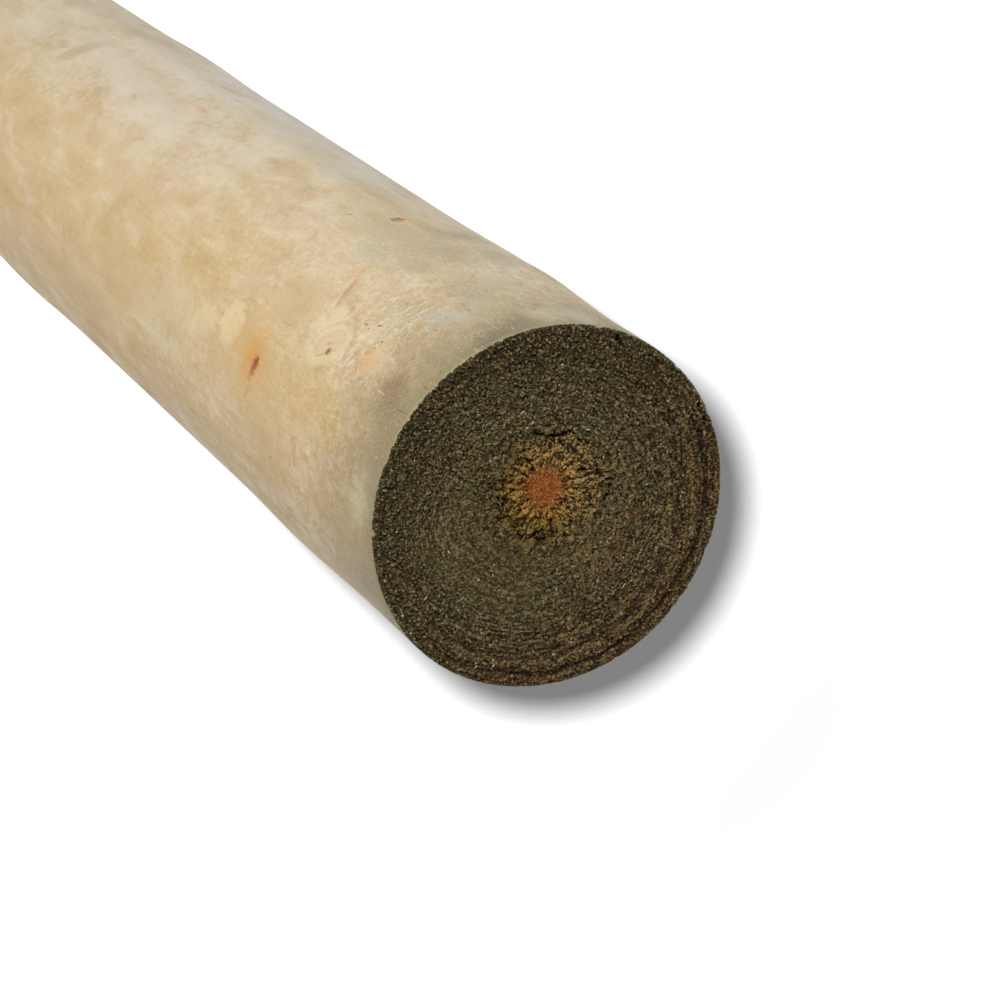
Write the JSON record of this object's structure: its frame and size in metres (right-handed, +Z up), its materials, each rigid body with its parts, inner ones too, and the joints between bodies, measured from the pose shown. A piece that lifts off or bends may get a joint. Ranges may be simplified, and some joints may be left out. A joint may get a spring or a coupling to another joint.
{
  "type": "treated pine pole",
  "caption": "Round peeled pine pole standing on its butt, with a slight taper and bow, low swellings at its whorls, and square sawn ends.",
  "frame": {"origin": "middle of the pole's width and depth, at the level of its butt face", "axes": "+Z up the pole, from its butt to its top end; the slight bow goes towards +Y"},
  "size_m": [0.1202, 0.1224, 1.8],
  "materials": {
    "treated_pine": "pale peeled sapwood, softly mottled tan with a faint green tint, and dark olive brown sawn end grain round a tan heart"
  },
  "bodies": {
    "root": {"pole": "treated_pine"}
  },
  "joints": []
}
